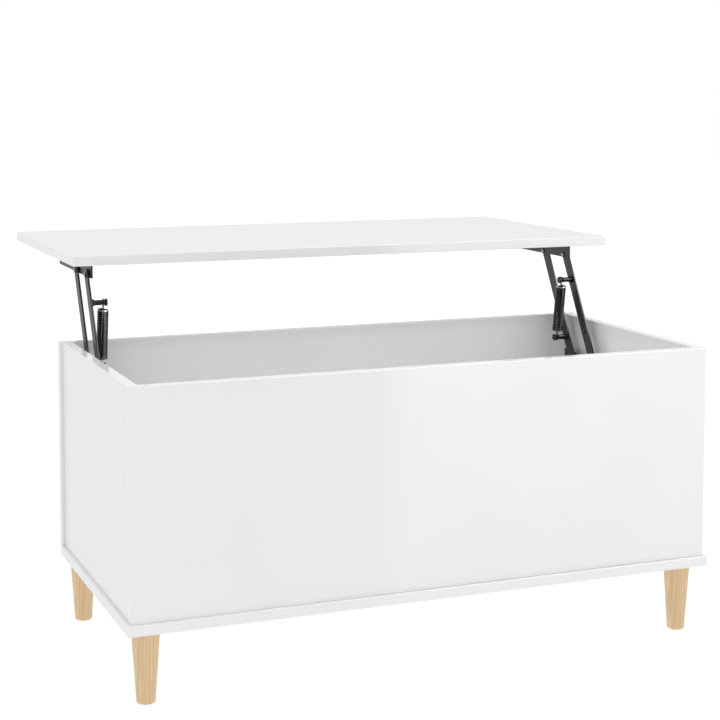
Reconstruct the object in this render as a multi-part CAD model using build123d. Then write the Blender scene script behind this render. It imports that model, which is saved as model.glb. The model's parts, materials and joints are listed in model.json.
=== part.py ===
from build123d import *
import math
import os

# Lift top coffee table. A low storage box of lacquered boards stands on four turned legs. Its top swings up
# and towards the sitter on two parallelogram mechanisms, each of two flat steel arms and a tension spring.
# Millimetres, +Z up. The origin is on the floor under the middle of the closed top. The plain back faces -Y,
# the ribbed front, where the sitter is, faces +Y. The top is drawn raised.

# Overall sizes
table_width = 900.0
table_depth = 445.0
table_height = 454.0
board = 15.0
edge_radius = 1.0

# Cabinet
leg_height = 104.0
slab_overhang = 5.0
finger_grip = 20.0
pad_height = 0.9
pad_gap = 0.1
pad_radius = 4.0
rib_count = 36
rib_gap = 2.6
rib_depth = 3.0
rib_crown = 0.9

# Legs
leg_x = 418.0
leg_y = 188.0
leg_top_radius = 20.0
leg_foot_radius = 12.9
leg_foot_rounding = 3.0
glide_radius = 8.0
glide_height = 1.5
glide_peg_radius = 3.0
glide_peg_length = 9.0
hanger_bolt_radius = 3.9
hanger_bolt_in_leg = 26.0
insert_radius = 6.0
insert_length = 13.0

# Lift mechanism, in planes square to X. Angles are from +Y towards +Z.
arm_length = 214.0
arm_width = 19.0
arm_thickness = 3.0
arm_spacing = 70.0
arm_inner_x = 412.5
raised_angle = 61.0
closed_angle = 163.5
top_pivot_drop = 21.0
front_top_pivot_y = 227.0
pivot_radius = 4.0
running_gap = 0.05
face_gap = 0.1
rivet_head_radius = 7.0
rivet_head_height = 2.4
rivet_dome_radius = 1.7
washer_thickness = 1.0
washer_radius = 8.0
plate = 2.5
stud_along = (73.0, 94.5)
stud_radius = 2.6
stud_head_radius = 3.9
stud_height = 1.2

# Top bracket: an angle whose web hangs under the top
top_bracket_y = (137.0, 364.0)
top_bracket_drop = 25.0
top_flange_width = 28.0
top_bracket_corner = 6.0
top_screw_y = (150.0, 194.0, 285.0, 350.0)

# Base bracket: a tray against the side board whose web carries the pivots and the stop pin
base_plate_y = (7.0, 175.0)
base_web_y = (37.0, 162.0)
base_bracket_z = (321.0, 389.0)
base_bracket_corner = 6.0
base_screw_y = (17.0, 168.5)
base_screw_z = (332.0, 378.0)
stop_along = 32.0
stop_radius = 3.0

# Spring and its two posts
upper_post_along = 167.8
lower_post_along = 54.0
post_inner_x = 388.0
post_collar_radius = 5.5
post_collar_length = 4.0
post_groove_radius = 3.0
post_groove_width = 5.0
post_flange_length = 3.5
spring_x = 394.0
spring_radius = 8.75
wire_radius = 1.25
hook_length = 12.0
half_coil_gap = 0.2

# Fittings
screw_radius = 2.0
screw_length = 12.0
screw_head_radius = 4.0
screw_head_height = 2.2
hole_gap = 0.05
cam_radius = 7.5
cam_depth = 12.5
cam_from_edge = 34.0
cam_levels = (50.0, 294.0)
cam_bolt_radius = 3.0
cam_bolt_embed = 11.0
cam_bolt_past_centre = 3.0
cam_channel_gap = 0.4
cam_slot = (8.0, 1.4, 1.5)
dowel_radius = 4.0
dowel_length = 30.0
dowel_embed = 10.5
dowel_levels = (100.0, 166.0)
base_screw_radius = 3.2
base_screw_length = 50.0
base_screw_head_radius = 5.0
base_screw_head_height = 3.0
long_board_screw_x = (-330.0, -110.0, 110.0, 330.0)
side_board_screw_y = (-90.0, 90.0)

# Places worked out from the sizes
half_width = table_width / 2
back_edge = -table_depth / 2
front_edge = table_depth / 2 - finger_grip
back_outer = back_edge + slab_overhang
back_inner = back_outer + board
front_inner = front_edge - board
side_outer = half_width - slab_overhang
side_inner = side_outer - board
side_middle = side_inner + board / 2
slab_top = leg_height + board
closed_underside = table_height - board
wall_top = closed_underside - pad_gap - pad_height
back_middle = back_outer + board / 2
front_core_middle = front_inner + (board - rib_depth) / 2

swing = closed_angle - raised_angle
chord = 2 * arm_length * math.sin(math.radians(swing / 2))
chord_angle = math.radians((raised_angle + closed_angle) / 2 - 90)
shift_y = chord * math.cos(chord_angle)
rise = chord * math.sin(chord_angle)
underside = closed_underside + rise

arm_dir = (math.cos(math.radians(raised_angle)), math.sin(math.radians(raised_angle)))
top_pivot_z = underside - top_pivot_drop
base_pivot_z = top_pivot_z - arm_length * arm_dir[1]
front_base_y = front_top_pivot_y - arm_length * arm_dir[0]
rear_base_y = front_base_y - arm_spacing
rear_top_pivot_y = front_top_pivot_y - arm_spacing
arm_outer_x = arm_inner_x + arm_thickness
pivot_hole_radius = pivot_radius + running_gap
base_pivot_ys = (front_base_y, rear_base_y)
top_pivot_ys = (front_top_pivot_y, rear_top_pivot_y)
cam_x = (side_inner, side_inner + cam_depth)

# The stacks along X of what the pivot rivets hold: arm, washer and bracket web
base_washer_x = (arm_outer_x + face_gap, arm_outer_x + face_gap + washer_thickness)
base_web_x = (base_washer_x[1], base_washer_x[1] + plate)
base_stack_x = (arm_inner_x - face_gap, base_web_x[1])
top_washer_x = (arm_inner_x - face_gap - washer_thickness, arm_inner_x - face_gap)
top_web_x = (top_washer_x[0] - plate, top_washer_x[0])
top_stack_x = (top_web_x[0], arm_outer_x + face_gap)


def block(x_span, y_span, z_span):
    """A box between three pairs of coordinates."""
    spans = (x_span, y_span, z_span)
    middle = [(low + high) / 2 for low, high in spans]
    return Pos(*middle) * Box(*[high - low for low, high in spans])


def rod_x(x_span, y, z, radius):
    """A round bar along X."""
    return Pos(sum(x_span) / 2, y, z) * Rot(0, 90, 0) * Cylinder(radius, x_span[1] - x_span[0])


def rod_y(x, y_span, z, radius):
    """A round bar along Y."""
    return Pos(x, sum(y_span) / 2, z) * Rot(90, 0, 0) * Cylinder(radius, y_span[1] - y_span[0])


def rod_z(x, y, z_span, radius):
    """A round bar along Z."""
    return Pos(x, y, sum(z_span) / 2) * Cylinder(radius, z_span[1] - z_span[0])


def other_side(shape):
    """The same shape on the left half of the table."""
    return mirror(shape, about=Plane.YZ)


def both_sides(shapes):
    """Right-hand shapes and their left-hand twins."""
    return shapes + [other_side(shape) for shape in shapes]


def joined(pieces):
    """One solid out of pieces that touch."""
    whole = pieces[0]
    for piece in pieces[1:]:
        whole = whole + piece
    return whole


def cut(shape, tools):
    """A shape with every tool taken out of it."""
    for tool in tools:
        shape = shape - tool
    return shape


def softened(shape, radius=edge_radius):
    """A board with its lacquered edges slightly rounded."""
    return fillet(shape.edges(), radius)


def on_arm(base_y, along, across=0.0):
    """The (y, z) of a point along a raised arm, and across it towards the front."""
    y = base_y + along * arm_dir[0] + across * arm_dir[1]
    z = base_pivot_z + along * arm_dir[1] - across * arm_dir[0]
    return y, z


upper_post = on_arm(rear_base_y, upper_post_along)
lower_post = on_arm(front_base_y, lower_post_along)
stop_pin = on_arm(front_base_y, stop_along, arm_width / 2 + stop_radius + face_gap)
spring_length = math.dist(upper_post, lower_post)
spring_dir = (
    (lower_post[0] - upper_post[0]) / spring_length,
    (lower_post[1] - upper_post[1]) / spring_length,
)


# Cabinet boards

def cam_places():
    """(y, z, sign) of each cam lock on a side board; sign points from the cam to the board it pulls."""
    ends = ((back_inner + cam_from_edge, -1), (front_inner - cam_from_edge, 1))
    return [(y, slab_top + level, sign) for y, sign in ends for level in cam_levels]


def joint_face(sign):
    """The y of the back or front board's inner face."""
    return back_inner if sign < 0 else front_inner


def span_y(start, sign, length):
    """A stretch of y of a given length, starting at a place and running the way of sign."""
    return tuple(sorted((start, start + sign * length)))


def cam_bolt(y, z, sign, gap=0.0):
    """The bolt screwed into a back or front board and gripped by the cam."""
    start = y - sign * (cam_bolt_past_centre + gap)
    end = joint_face(sign) + sign * cam_bolt_embed
    return rod_y(side_middle, tuple(sorted((start, end))), z, cam_bolt_radius + gap)


def dowel(sign, level, gap=0.0):
    """A beech dowel across the joint of a side board with the back or front board."""
    start = joint_face(sign) + sign * dowel_embed
    return rod_y(side_middle, span_y(start, -sign, dowel_length), slab_top + level, dowel_radius + gap)


def base_screw_places():
    """(x, y) of the screws driven up through the base slab into the board edges."""
    places = [(x, y) for y in (back_middle, front_core_middle) for x in long_board_screw_x]
    return places + [(x, y) for x in (-side_middle, side_middle) for y in side_board_screw_y]


def base_screw(x, y, gap=0.0):
    """A long screw with a flat head let into the underside of the slab."""
    shank = rod_z(x, y, (leg_height, leg_height + base_screw_length), base_screw_radius + gap)
    head = rod_z(x, y, (leg_height, leg_height + base_screw_head_height), base_screw_head_radius + gap)
    return shank + head


right_cam_bolts = [cam_bolt(*place) for place in cam_places()]
right_cam_bolt_holes = [cam_bolt(*place, gap=cam_channel_gap) for place in cam_places()]
right_dowels = [dowel(sign, level) for sign in (-1, 1) for level in dowel_levels]
right_dowel_holes = [dowel(sign, level, hole_gap) for sign in (-1, 1) for level in dowel_levels]
base_screws = [base_screw(x, y) for x, y in base_screw_places()]
base_screw_holes = [base_screw(x, y, hole_gap) for x, y in base_screw_places()]
leg_places = [(x, y) for x in (-leg_x, leg_x) for y in (-leg_y, leg_y)]


def make_base_panel():
    """The slab that the box stands on, with blind holes for the legs' threaded inserts."""
    slab = softened(block((-half_width, half_width), (back_edge, front_edge), (leg_height, slab_top)))
    inserts = [rod_z(x, y, (leg_height, leg_height + insert_length), insert_radius) for x, y in leg_places]
    return cut(slab, inserts + base_screw_holes)


def make_side_panel():
    """The right side board, drilled for cams, dowels and the base bracket's screws."""
    side = softened(block((side_inner, side_outer), (back_inner, front_inner), (slab_top, wall_top)))
    cams = [rod_x(cam_x, y, z, cam_radius + hole_gap) for y, z, _ in cam_places()]
    holes = cams + right_cam_bolt_holes + right_dowel_holes + base_screw_holes
    return cut(side, holes + base_bracket_screws(hole_gap))


def make_back_panel():
    """The plain back board, which covers the ends of the side boards."""
    back = softened(block((-side_outer, side_outer), (back_outer, back_inner), (slab_top, wall_top)))
    return cut(back, both_sides(right_cam_bolt_holes + right_dowel_holes) + base_screw_holes)


def make_front_panel():
    """The front board, flush with the slab, with crowned ribs milled along its whole width."""
    pitch = (wall_top - slab_top) / rib_count
    valley = front_edge - rib_depth
    shoulder = front_edge - rib_crown
    corner = (valley, slab_top)
    outline = [Line((front_inner, slab_top), corner)]
    for rib in range(rib_count):
        low = slab_top + rib * pitch + rib_gap / 2
        high = low + pitch - rib_gap
        outline.append(Line(corner, (valley, low)))
        outline.append(Line((valley, low), (shoulder, low)))
        outline.append(ThreePointArc((shoulder, low), (front_edge, (low + high) / 2), (shoulder, high)))
        outline.append(Line((shoulder, high), (valley, high)))
        corner = (valley, high)
    outline.append(Line(corner, (valley, wall_top)))
    outline.append(Line((valley, wall_top), (front_inner, wall_top)))
    outline.append(Line((front_inner, wall_top), (front_inner, slab_top)))
    section = Plane.YZ * make_face(outline)
    front = Pos(-half_width, 0, 0) * extrude(section, amount=table_width, dir=(1, 0, 0))
    return cut(front, both_sides(right_cam_bolt_holes + right_dowel_holes) + base_screw_holes)


def make_cam(y, z, sign):
    """A cam lock: a disc with a cross slot in its face and a channel for the bolt."""
    length, width, depth = cam_slot
    slot_middle = Pos(side_inner + depth / 2, y, z)
    slots = [slot_middle * Box(depth, width, length), slot_middle * Box(depth, length, width)]
    disc = rod_x(cam_x, y, z, cam_radius)
    return cut(disc, slots + [cam_bolt(y, z, sign, cam_channel_gap)])


def make_pad(x, y):
    """A soft pad on a board's top edge, which the closed top rests on."""
    return rod_z(x, y, (wall_top, wall_top + pad_height), pad_radius)


# Legs

def hanger_bolt(x, y, gap=0.0):
    """The threaded stud that joins a leg to the insert in the slab."""
    span = (leg_height - hanger_bolt_in_leg - gap, leg_height + insert_length - 1)
    return rod_z(x, y, span, hanger_bolt_radius + gap)


def make_insert(x, y):
    """A threaded sleeve pressed into the slab."""
    sleeve = rod_z(x, y, (leg_height, leg_height + insert_length), insert_radius)
    return sleeve - hanger_bolt(x, y, 2 * hole_gap)


def make_glide(x, y, gap=0.0):
    """A floor glide: a disc under the leg and its peg."""
    disc = rod_z(x, y, (0, glide_height), glide_radius)
    peg = rod_z(x, y, (glide_height, glide_height + glide_peg_length + gap), glide_peg_radius + gap)
    return disc + peg


def make_leg(x, y):
    """A turned leg that tapers to a rounded foot."""
    height = leg_height - glide_height
    cone = Pos(x, y, glide_height + height / 2) * Cone(leg_foot_radius, leg_top_radius, height)
    rims = cone.edges().filter_by(GeomType.CIRCLE).sort_by(Axis.Z)
    turned = fillet(rims[0], leg_foot_rounding)
    turned = fillet(turned.edges().filter_by(GeomType.CIRCLE).sort_by(Axis.Z)[-1], edge_radius)
    peg = rod_z(x, y, (0, glide_height + glide_peg_length + hole_gap), glide_peg_radius + hole_gap)
    return cut(turned, [peg, hanger_bolt(x, y, hole_gap)])


# Lift mechanism, right-hand side

def make_arm(base_y, hole_places):
    """A flat bar with round ends, drawn raised, with a hole for each pivot, post and stud."""
    plane = Plane(origin=(arm_inner_x, base_y, base_pivot_z), x_dir=(0, *arm_dir), z_dir=(1, 0, 0))
    outline = Pos(arm_length / 2, 0) * SlotCenterToCenter(arm_length, arm_width)
    for along, radius in hole_places:
        outline = outline - Pos(along, 0) * Circle(radius)
    bar = extrude(plane * outline, amount=arm_thickness)
    sides = bar.faces().sort_by(Axis.X)
    rims = sides[0].outer_wire().edges() + sides[-1].outer_wire().edges()
    return fillet(rims, arm_thickness / 6)


def make_rivet(y, z, x_span):
    """A pivot rivet with a domed head at each end of the stack that it holds."""
    ends = (x_span[0] - rivet_head_height, x_span[1] + rivet_head_height)
    pieces = [
        rod_x(x_span, y, z, pivot_radius),
        rod_x((ends[0], x_span[0]), y, z, rivet_head_radius),
        rod_x((x_span[1], ends[1]), y, z, rivet_head_radius),
    ]
    rivet = joined(pieces)
    rims = rivet.edges().group_by(Axis.X)
    return fillet(rims[0] + rims[-1], rivet_dome_radius)


def make_washer(y, z, x_span):
    """A plain washer between an arm and its bracket."""
    return rod_x(x_span, y, z, washer_radius) - rod_x(x_span, y, z, pivot_radius + running_gap)


def make_post(y, z):
    """A spring post riveted into an arm, with a collar, a groove for the hook and an end flange."""
    groove_start = post_inner_x + post_flange_length
    groove_end = groove_start + post_groove_width
    collar_start = arm_inner_x - post_collar_length
    pieces = [
        rod_x((post_inner_x, groove_start), y, z, post_collar_radius),
        rod_x((groove_start, groove_end), y, z, post_groove_radius),
        rod_x((groove_end, collar_start), y, z, pivot_radius),
        rod_x((collar_start, arm_inner_x), y, z, post_collar_radius),
        rod_x((arm_inner_x, arm_outer_x), y, z, pivot_radius),
    ]
    return joined(pieces)


def make_stud(along):
    """A small rivet through the rear arm."""
    y, z = on_arm(rear_base_y, along)
    shank = rod_x((arm_inner_x, arm_outer_x), y, z, stud_radius)
    head = rod_x((arm_inner_x - stud_height, arm_inner_x), y, z, stud_head_radius)
    return shank + head


def along_spring(distance):
    """A point on the spring's axis, measured from the upper post."""
    return spring_x, upper_post[0] + distance * spring_dir[0], upper_post[1] + distance * spring_dir[1]


def spring_rod(start, end, radius):
    """A round bar along the spring's axis."""
    plane = Plane(origin=along_spring(start), z_dir=(0, *spring_dir))
    return extrude(plane * Circle(radius), amount=end - start)


def make_half_spring(post, eye_at, coil_end, middle):
    """Half of the spring as its outer shape: the hook's eye, its straight wire and a closed-end sleeve."""
    toward = 1 if middle > eye_at else -1
    eye_radius = post_groove_radius + wire_radius + face_gap
    eye = Pos(spring_x, *post) * Rot(0, 90, 0) * Torus(eye_radius, wire_radius)
    wire = spring_rod(*sorted((eye_at + toward * eye_radius, coil_end + toward * wire_radius)), wire_radius)
    sleeve = spring_rod(*sorted((coil_end, middle)), spring_radius)
    bore = spring_rod(*sorted((coil_end + toward * 2 * wire_radius, middle)), spring_radius - 2 * wire_radius)
    return eye + wire + (sleeve - bore)


def top_bracket_screws(gap=0.0):
    """Screws up into the top through the top bracket's flange."""
    x = top_web_x[1] - top_flange_width / 2 - plate
    flange_face = underside - plate
    screws = []
    for y in top_screw_y:
        shank = rod_z(x, y, (flange_face, flange_face + screw_length + gap), screw_radius + gap)
        head = rod_z(x, y, (flange_face - screw_head_height, flange_face), screw_head_radius)
        screws.append(shank if gap else shank + head)
    return screws


def base_bracket_screws(gap=0.0):
    """Screws out through the base bracket's plate into the side board."""
    face = side_inner - plate
    screws = []
    for y in base_screw_y:
        for z in base_screw_z:
            shank = rod_x((face, face + screw_length + gap), y, z, screw_radius + gap)
            head = rod_x((face - screw_head_height, face), y, z, screw_head_radius)
            screws.append(shank if gap else shank + head)
    return screws


def rounded_plate(x_span, y_span, z_span, radius, corners):
    """A plate square to X with its chosen corners rounded: low, high or all of them."""
    shape = block(x_span, y_span, z_span)
    edges = shape.edges().filter_by(Axis.X).sort_by(Axis.Z)
    chosen = {"low": edges[:2], "high": edges[2:], "all": edges}[corners]
    return fillet(chosen, radius)


def make_top_bracket():
    """The steel angle under the top that both arms are riveted to."""
    drop = (underside - top_bracket_drop, underside)
    web = rounded_plate(top_web_x, top_bracket_y, drop, top_bracket_corner, "low")
    flange_x = (top_web_x[1] - top_flange_width, top_web_x[1])
    flange = block(flange_x, top_bracket_y, (underside - plate, underside))
    pivots = [rod_x(top_web_x, y, top_pivot_z, pivot_hole_radius) for y in top_pivot_ys]
    return cut(web + flange, pivots + top_bracket_screws(hole_gap))


def make_base_bracket():
    """The folded steel tray on the side board: a wide plate, a floor and the web with the pivots."""
    wall_x = (side_inner - plate, side_inner)
    wall = rounded_plate(wall_x, base_plate_y, base_bracket_z, base_bracket_corner, "all")
    web = rounded_plate(base_web_x, base_web_y, base_bracket_z, base_bracket_corner, "high")
    floor = block((base_web_x[0], side_inner), base_web_y, (base_bracket_z[0], base_bracket_z[0] + plate))
    pivots = [rod_x(base_web_x, y, base_pivot_z, pivot_hole_radius) for y in base_pivot_ys]
    pin_hole = rod_x(base_web_x, *stop_pin, stop_radius)
    return cut(wall + web + floor, pivots + [pin_hole] + base_bracket_screws(hole_gap))


def make_top_panel():
    """The lifting top, drawn raised."""
    depth = (back_edge + shift_y, -back_edge + shift_y)
    top = softened(block((-half_width, half_width), depth, (underside, underside + board)))
    return cut(top, both_sides(top_bracket_screws(hole_gap)))


def make_rivets(pivot_ys, z, stack_x):
    """The pivot rivets of both sides at one level."""
    return Compound(both_sides([make_rivet(y, z, stack_x) for y in pivot_ys]))


def make_washers(pivot_ys, z, washer_x):
    """The pivot washers of both sides at one level."""
    return Compound(both_sides([make_washer(y, z, washer_x) for y in pivot_ys]))


def make_pads():
    """The bumper pads near the box's corners."""
    return Compound([make_pad(x, y) for x in (-leg_x, leg_x) for y in (back_middle, front_core_middle)])


pivot_holes = [(0, pivot_hole_radius), (arm_length, pivot_hole_radius)]
stud_holes = [(along, stud_radius) for along in stud_along]
half_spring = spring_length / 2 - half_coil_gap / 2
right_hand_nodes = {
    "rear_arm": make_arm(rear_base_y, pivot_holes + [(upper_post_along, pivot_radius)] + stud_holes),
    "front_arm": make_arm(front_base_y, pivot_holes + [(lower_post_along, pivot_radius)]),
    "arm_studs": Compound([make_stud(along) for along in stud_along]),
    "upper_post": make_post(*upper_post),
    "lower_post": make_post(*lower_post),
    "spring_upper": make_half_spring(upper_post, 0, hook_length, half_spring),
    "spring_lower": make_half_spring(
        lower_post, spring_length, spring_length - hook_length, spring_length - half_spring
    ),
    "top_bracket": make_top_bracket(),
    "base_bracket": make_base_bracket(),
    "side_panel": make_side_panel(),
}
nodes = {
    "base_panel": make_base_panel(),
    "back_panel": make_back_panel(),
    "front_panel": make_front_panel(),
    "top_panel": make_top_panel(),
    "cam_locks": Compound(both_sides([make_cam(*place) for place in cam_places()])),
    "cam_bolts": Compound(both_sides(right_cam_bolts)),
    "dowels": Compound(both_sides(right_dowels)),
    "base_screws": Compound(base_screws),
    "bumper_pads": make_pads(),
    "leg_hanger_bolts": Compound([hanger_bolt(x, y) for x, y in leg_places]),
    "leg_inserts": Compound([make_insert(x, y) for x, y in leg_places]),
    "leg_glides": Compound([make_glide(x, y) for x, y in leg_places]),
    "base_bracket_screws": Compound(both_sides(base_bracket_screws())),
    "base_pivot_rivets": make_rivets(base_pivot_ys, base_pivot_z, base_stack_x),
    "base_pivot_washers": make_washers(base_pivot_ys, base_pivot_z, base_washer_x),
    "stop_pins": Compound(both_sides([rod_x((arm_inner_x, base_web_x[1]), *stop_pin, stop_radius)])),
    "top_bracket_screws": Compound(both_sides(top_bracket_screws())),
    "top_pivot_rivets": make_rivets(top_pivot_ys, top_pivot_z, top_stack_x),
    "top_pivot_washers": make_washers(top_pivot_ys, top_pivot_z, top_washer_x),
}
for (x, y), place in zip(leg_places, ("back_left", "front_left", "back_right", "front_right")):
    nodes["leg_" + place] = make_leg(x, y)
for name, shape in right_hand_nodes.items():
    nodes[name + "_right"] = shape
    nodes[name + "_left"] = other_side(shape)

os.makedirs("parts", exist_ok=True)
for name, shape in nodes.items():
    export_step(shape, os.path.join("parts", name + ".step"))

# The joints' places and couplings follow from the same sizes.
closed_dir = (math.cos(math.radians(closed_angle)), math.sin(math.radians(closed_angle)))
closed_spring = [
    far + lower_post_along * way - near - upper_post_along * way
    for far, near, way in zip((front_base_y, base_pivot_z), (rear_base_y, base_pivot_z), closed_dir)
]
closed_spring_angle = math.degrees(math.atan2(closed_spring[1], closed_spring[0]))
raised_spring_angle = math.degrees(math.atan2(spring_dir[1], spring_dir[0]))
print("nodes", len(nodes))
print("swing", swing, "shift", round(shift_y, 4), "rise", round(rise, 4), "underside", round(underside, 4))
print("base pivots y", round(front_base_y, 4), round(rear_base_y, 4), "z", round(base_pivot_z, 4))
print("top pivots y", front_top_pivot_y, rear_top_pivot_y, "z", round(top_pivot_z, 4))
print("posts", [round(value, 4) for value in (*upper_post, *lower_post)])
print("spring", round(spring_length, 4), "direction", [round(value, 6) for value in spring_dir])
print("spring turn on its arm", round(closed_spring_angle - raised_spring_angle - swing, 4))
print("spring stretch", round(math.hypot(*closed_spring) - spring_length, 4))
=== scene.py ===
import json
import math

import bmesh
import bpy
from bpy.props import FloatProperty, FloatVectorProperty, IntProperty, PointerProperty
from mathutils import Matrix, Vector

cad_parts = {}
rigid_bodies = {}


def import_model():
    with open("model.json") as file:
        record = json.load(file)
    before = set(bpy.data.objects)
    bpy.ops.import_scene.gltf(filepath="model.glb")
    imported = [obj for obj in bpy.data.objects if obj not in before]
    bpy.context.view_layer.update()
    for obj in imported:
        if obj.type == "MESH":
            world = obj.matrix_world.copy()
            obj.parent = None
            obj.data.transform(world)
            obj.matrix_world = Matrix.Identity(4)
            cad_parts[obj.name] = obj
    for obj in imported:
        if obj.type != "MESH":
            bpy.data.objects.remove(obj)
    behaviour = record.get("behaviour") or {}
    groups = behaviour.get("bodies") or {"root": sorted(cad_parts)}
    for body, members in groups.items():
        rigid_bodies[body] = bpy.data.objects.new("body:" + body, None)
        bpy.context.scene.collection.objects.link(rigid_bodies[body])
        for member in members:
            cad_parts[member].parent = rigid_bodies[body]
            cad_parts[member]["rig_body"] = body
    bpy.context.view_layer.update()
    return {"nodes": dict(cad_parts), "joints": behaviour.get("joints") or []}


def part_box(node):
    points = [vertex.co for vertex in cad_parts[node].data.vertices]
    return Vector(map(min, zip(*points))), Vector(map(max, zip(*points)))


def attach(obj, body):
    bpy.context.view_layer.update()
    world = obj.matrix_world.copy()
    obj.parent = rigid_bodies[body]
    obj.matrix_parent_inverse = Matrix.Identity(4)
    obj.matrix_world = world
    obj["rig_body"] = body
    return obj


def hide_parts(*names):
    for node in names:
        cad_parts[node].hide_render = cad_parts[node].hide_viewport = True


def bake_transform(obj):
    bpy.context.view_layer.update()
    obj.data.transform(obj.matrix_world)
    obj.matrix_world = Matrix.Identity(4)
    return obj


# Lift top coffee table: a white gloss box on four beech legs, whose top swings up on two steel linkages.
bl_info = {
    "name": "Lift top coffee table",
    "version": (1, 0, 0),
    "blender": (4, 5, 0),
    "location": "3D View > Sidebar > Lift Table",
    "description": "Builds the boards, legs, linkages, springs and fittings of a lift top coffee table",
    "category": "Add Mesh",
}

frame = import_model()

MM = 0.001
MERGE = 0.002 * MM
FOLD = math.radians(60)
SMOOTH = math.radians(38)
ROUND = 48
SMALL_ROUND = 32
ALONG_X = Matrix.Rotation(math.radians(90), 4, "Y")
SIDES = {"right": Matrix.Identity(4), "left": Matrix.Scale(-1, 4, (1, 0, 0))}


def linear(hex_colour):
    """The linear RGBA that a shader takes, from an sRGB hex value."""
    channels = [int(hex_colour[at : at + 2], 16) / 255 for at in (1, 3, 5)]
    return (*(c / 12.92 if c <= 0.04045 else ((c + 0.055) / 1.055) ** 2.4 for c in channels), 1.0)


def colour(name, description, hex_colour):
    """A colour property with an sRGB hex default."""
    return FloatVectorProperty(
        name=name, description=description, subtype="COLOR", size=4, min=0, max=1,
        default=linear(hex_colour),
    )


def size(name, description, millimetres):
    """A length property with a default in millimetres."""
    return FloatProperty(
        name=name, description=description, unit="LENGTH", min=0, precision=5, default=millimetres * MM
    )


# What a user would change


class BoardSettings(bpy.types.PropertyGroup):
    """The lacquered boards."""

    white: colour("Lacquer", "Colour of the white gloss lacquer", "#F1F1F1")
    peel: size("Orange peel", "Width of the faint waves that sprayed lacquer dries with", 6.0)
    peel_depth: size("Peel depth", "Height of those waves", 0.0006)


class LegSettings(bpy.types.PropertyGroup):
    """The turned legs and their glides."""

    early_wood: colour("Early wood", "Light colour between the growth rings", "#E5C9A0")
    late_wood: colour("Late wood", "Darker colour of the growth rings", "#D2B083")
    fleck: colour("Fleck", "Colour of the short ray flecks", "#B28E5E")
    glide: colour("Glide", "Colour of the plastic glide under each leg", "#D5D2C8")
    foot_rounding: size("Foot rounding", "Radius turned on the rim of the foot", 2.0)
    top_rounding: size("Top rounding", "Radius turned on the rim under the slab", 1.0)
    ring: size("Ring spacing", "Distance between growth rings", 4.6)


class LinkageSettings(bpy.types.PropertyGroup):
    """The arms, brackets, posts and rivets."""

    paint: colour("Steel paint", "Colour of the black coat on arms and brackets", "#202021")
    zinc: colour("Zinc plate", "Colour of the plated rivets and screws", "#C9CBCE")
    arm_edge: size("Arm edge", "Radius rolled on the edges of an arm", 0.6)
    bend: size("Bend radius", "Outer radius of the folds in a bracket", 3.5)
    sheet_edge: size("Sheet edge", "Radius on the cut edges of a bracket", 0.4)
    plate: size("Plate", "Thickness of the folded brackets", 2.5)
    tray_drop: size("Tray drop", "How far the folded tray stays under its room", 5.5)
    wall_dip: size("Wall dip", "Depth of the dip in the tray's wall plate between its screws", 16.5)
    web_slope: size("Web slope", "How much lower the tray's web is at its near end", 14.0)
    corner: size("Plate corner", "Radius of the corners of a bracket", 2.5)


class SpringSettings(bpy.types.PropertyGroup):
    """The two tension springs."""

    black: colour("Spring black", "Colour of the blackened wire", "#141415")
    wire: size("Wire", "Diameter of the spring wire", 2.5)
    outer: size("Coil", "Outer diameter of the coil", 17.5)
    eye: size("Eye", "Radius of the eye's centre line round its post", 4.35)
    shank_bend: size("Shank bend", "Radius of the bend from the last turn up to the eye", 2.2)
    neck_bend: size("Neck bend", "Radius of the bend at the foot of the eye", 3.0)
    coil_start: size("Coil start", "Distance from the post to the first turn's centre", 11.0)
    half_turns: IntProperty(name="Half turns", description="Full turns in each half", default=14, min=2)


class StageSettings(bpy.types.PropertyGroup):
    """The floor, the light and the camera."""

    floor: colour("Floor", "Colour of the pale studio floor", "#FFFFFF")
    glow: FloatProperty(
        name="Floor glow", description="Light that the floor gives off", default=0.78, min=0
    )
    sky: FloatProperty(
        name="Room light", description="Strength of the even room light", default=0.835, min=0
    )
    ceiling: FloatProperty(
        name="Ceiling light", description="Power of the soft box overhead",
        default=16.5, min=0, unit="POWER",
    )
    fill: FloatProperty(
        name="Fill", description="Power of the faint light at the mouth of the box",
        default=0.12, min=0, unit="POWER",
    )
    screen: FloatProperty(
        name="Screen", description="Strength of the tall lit screen that the gloss mirrors",
        default=3.0, min=0,
    )
    lamp: FloatProperty(
        name="Lamp", description="Strength of the bright strip lamp in front of that screen",
        default=14.0, min=0,
    )
    lens: FloatProperty(
        name="Lens", description="Focal length", default=82.426, min=1, unit="CAMERA", subtype="DISTANCE"
    )
    place: FloatVectorProperty(
        name="Camera place", description="Where the camera stands",
        default=(-0.973567, -2.299892, 0.832245), unit="LENGTH", subtype="TRANSLATION",
    )
    turn: FloatProperty(
        name="Camera turn", description="Heading from +Y", default=math.radians(-21.569), unit="ROTATION"
    )
    tilt: FloatProperty(
        name="Camera tilt", description="Slope down", default=math.radians(4.548), unit="ROTATION"
    )
    shift: FloatVectorProperty(
        name="Lens shift", description="Sideways and upward shift", size=2, default=(0.03, -0.2)
    )


SETTINGS = {
    "lift_table_boards": BoardSettings,
    "lift_table_legs": LegSettings,
    "lift_table_linkage": LinkageSettings,
    "lift_table_springs": SpringSettings,
    "lift_table_stage": StageSettings,
}


# Finishes


def add(tree, kind, inputs=None, **settings):
    """Adds a shader node, sets it up, and gives its inputs their values or links."""
    node = tree.nodes.new("ShaderNode" + kind)
    for name, value in settings.items():
        setattr(node, name, value)
    for name, value in (inputs or {}).items():
        if isinstance(value, bpy.types.NodeSocket):
            tree.links.new(value, node.inputs[name])
        else:
            node.inputs[name].default_value = value
    return node


def per_metre(millimetres):
    """The noise scale whose features have this size."""
    return 1 / (millimetres * MM)


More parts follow.
